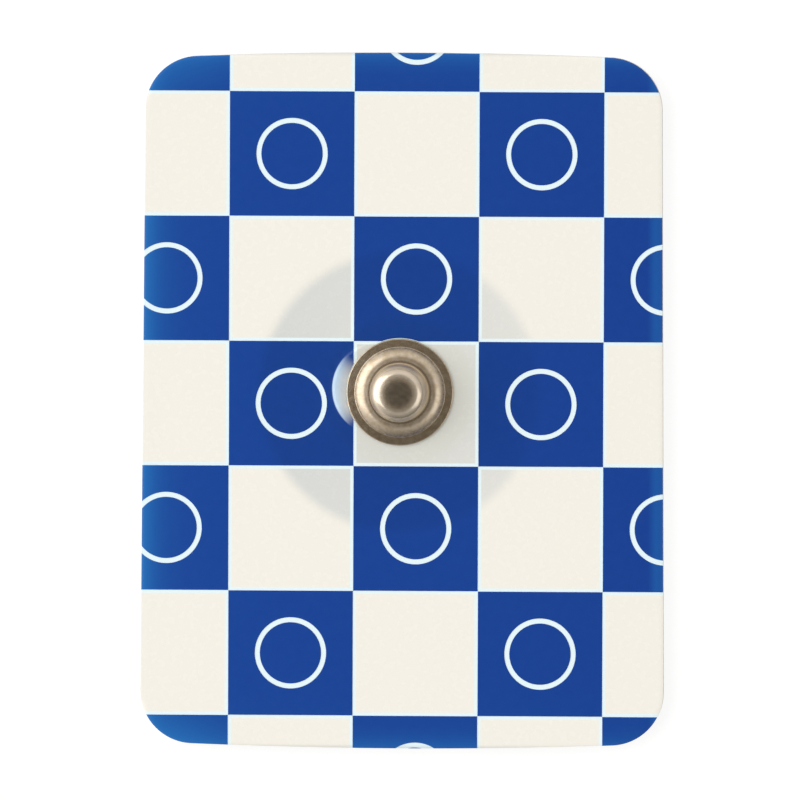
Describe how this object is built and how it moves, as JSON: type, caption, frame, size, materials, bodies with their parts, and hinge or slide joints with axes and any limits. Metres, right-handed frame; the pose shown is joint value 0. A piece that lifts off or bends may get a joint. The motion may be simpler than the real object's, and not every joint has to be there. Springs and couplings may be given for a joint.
{
  "type": "ecg electrode",
  "caption": "Flat rounded-rectangle foam skin electrode with a blue and cream chequered cover film, a nickel snap stud and a conductive gel disc below.",
  "frame": {"origin": "bottom centre of the bounding box: under the middle of the pad's outline, on the skin face", "axes": "+X across the pad, +Y along the pad, +Z out of the skin face towards the snap stud's top; the pad lies flat on its adhesive side"},
  "size_m": [0.0356, 0.0472, 0.0042],
  "materials": {
    "adhesive": "tacky clear acrylic adhesive on the foam",
    "foam": "fine closed-cell polyethylene foam",
    "gel": "wet translucent hydrogel",
    "sensor": "moulded plastic with a dull silver coating",
    "film": "satin cream label film",
    "ink": "deep blue printed ink under a satin coat",
    "stud": "warm nickel plate on drawn brass sheet"
  },
  "bodies": {
    "root": {"skin_adhesive": "adhesive", "foam_pad": "foam", "gel_disc": "gel", "sensor_eyelet": "sensor", "cover_film": "film", "blue_print": "ink", "snap_stud": "stud"}
  },
  "joints": []
}
